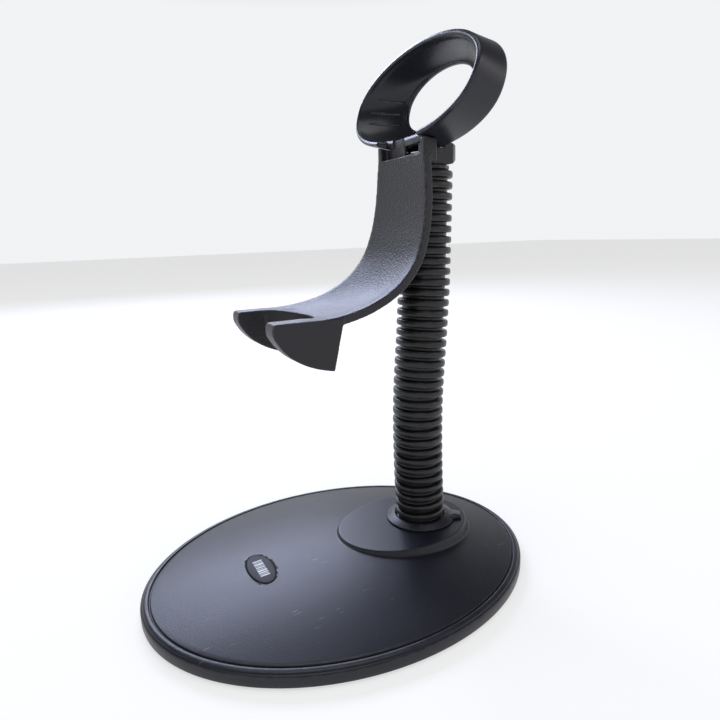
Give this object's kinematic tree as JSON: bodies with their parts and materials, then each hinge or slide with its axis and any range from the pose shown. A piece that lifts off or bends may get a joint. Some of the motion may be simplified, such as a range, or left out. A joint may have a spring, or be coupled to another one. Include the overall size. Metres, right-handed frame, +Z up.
{
  "type": "gooseneck scanner stand",
  "caption": "Desk stand for a handheld barcode scanner: weighted oval base, bendable ribbed gooseneck, forked cradle and oval holding hoop.",
  "frame": {"origin": "on the table under the middle of the oval base", "axes": "+Z up, +X to the right across the base, -Y towards the front where the fork points"},
  "size_m": [0.152, 0.1912, 0.2489],
  "materials": {
    "base_plastic": "black moulded ABS with a fine satin texture",
    "cradle_plastic": "black moulded ABS with a spark-eroded satin texture",
    "hoop_plastic": "black moulded ABS, semi-gloss with glossy rounded rims",
    "conduit_plastic": "black extruded polypropylene, semi-matte",
    "badge_plastic": "smooth black inlay",
    "foot_rubber": "dark moulded rubber",
    "zinc_steel": "bright zinc plate",
    "core_steel": "plain steel",
    "iron": "raw cast iron"
  },
  "bodies": {
    "base": {"base_cover": "base_plastic", "base_plate": "base_plastic", "base_weight": "iron", "rubber_foot_1": "foot_rubber", "rubber_foot_2": "foot_rubber", "rubber_foot_3": "foot_rubber", "rubber_foot_4": "foot_rubber", "base_screw_1": "zinc_steel", "base_screw_2": "zinc_steel", "base_screw_3": "zinc_steel", "base_screw_4": "zinc_steel", "badge": "badge_plastic", "neck_collar": "base_plastic", "foot_fitting": "zinc_steel", "foot_washer": "zinc_steel", "foot_nut": "zinc_steel", "conduit_foot": "conduit_plastic", "core_foot": "core_steel"},
    "link_1": {"conduit_link_1": "conduit_plastic", "core_link_1": "core_steel"},
    "link_2": {"conduit_link_2": "conduit_plastic", "core_link_2": "core_steel"},
    "link_3": {"conduit_link_3": "conduit_plastic", "core_link_3": "core_steel"},
    "link_4": {"conduit_link_4": "conduit_plastic", "core_link_4": "core_steel"},
    "link_5": {"conduit_link_5": "conduit_plastic", "core_link_5": "core_steel"},
    "link_6": {"conduit_link_6": "conduit_plastic", "core_link_6": "core_steel"},
    "link_7": {"conduit_link_7": "conduit_plastic", "core_link_7": "core_steel"},
    "link_8": {"conduit_link_8": "conduit_plastic", "core_link_8": "core_steel"},
    "head": {"conduit_top": "conduit_plastic", "core_top": "core_steel", "top_fitting": "conduit_plastic", "cradle": "cradle_plastic", "bolt_washer": "zinc_steel", "neck_bolt": "zinc_steel", "hoop": "hoop_plastic"}
  },
  "joints": [
    {"name": "neck_lean_1", "type": "hinge", "parent": "base", "child": "link_1", "pos_m": [0, 0.04723, 0.0225], "axis": [1, 0, 0], "range_deg": [-7.5, 7.5]},
    {"name": "neck_sway_1", "type": "hinge", "parent": "link_1", "child": "link_2", "pos_m": [0, 0.04674, 0.0375], "axis": [0, 1, 0], "range_deg": [-7.5, 7.5]},
    {"name": "neck_lean_2", "type": "hinge", "parent": "link_2", "child": "link_3", "pos_m": [0, 0.04648, 0.0525], "axis": [1, 0, 0], "range_deg": [-7.5, 7.5]},
    {"name": "neck_sway_2", "type": "hinge", "parent": "link_3", "child": "link_4", "pos_m": [0, 0.0465, 0.0675], "axis": [0, 1, 0], "range_deg": [-7.5, 7.5]},
    {"name": "neck_lean_3", "type": "hinge", "parent": "link_4", "child": "link_5", "pos_m": [0, 0.04692, 0.0825], "axis": [1, 0, 0], "range_deg": [-7.5, 7.5]},
    {"name": "neck_sway_3", "type": "hinge", "parent": "link_5", "child": "link_6", "pos_m": [0, 0.04798, 0.0975], "axis": [0, 1, 0], "range_deg": [-7.5, 7.5]},
    {"name": "neck_lean_4", "type": "hinge", "parent": "link_6", "child": "link_7", "pos_m": [0, 0.04929, 0.1125], "axis": [1, 0, 0], "range_deg": [-7.5, 7.5]},
    {"name": "neck_sway_4", "type": "hinge", "parent": "link_7", "child": "link_8", "pos_m": [0, 0.05035, 0.1275], "axis": [0, 1, 0], "range_deg": [-7.5, 7.5]},
    {"name": "neck_lean_5", "type": "hinge", "parent": "link_8", "child": "head", "pos_m": [0, 0.05125, 0.1425], "axis": [1, 0, 0], "range_deg": [-7.5, 7.5]}
  ],
  "couplings": [
    {"joint": "neck_lean_2", "follows": "neck_lean_1", "ratio": 1},
    {"joint": "neck_sway_2", "follows": "neck_sway_1", "ratio": 1},
    {"joint": "neck_lean_3", "follows": "neck_lean_1", "ratio": 1},
    {"joint": "neck_sway_3", "follows": "neck_sway_1", "ratio": 1},
    {"joint": "neck_lean_4", "follows": "neck_lean_1", "ratio": 1},
    {"joint": "neck_sway_4", "follows": "neck_sway_1", "ratio": 1},
    {"joint": "neck_lean_5", "follows": "neck_lean_1", "ratio": 1}
  ]
}
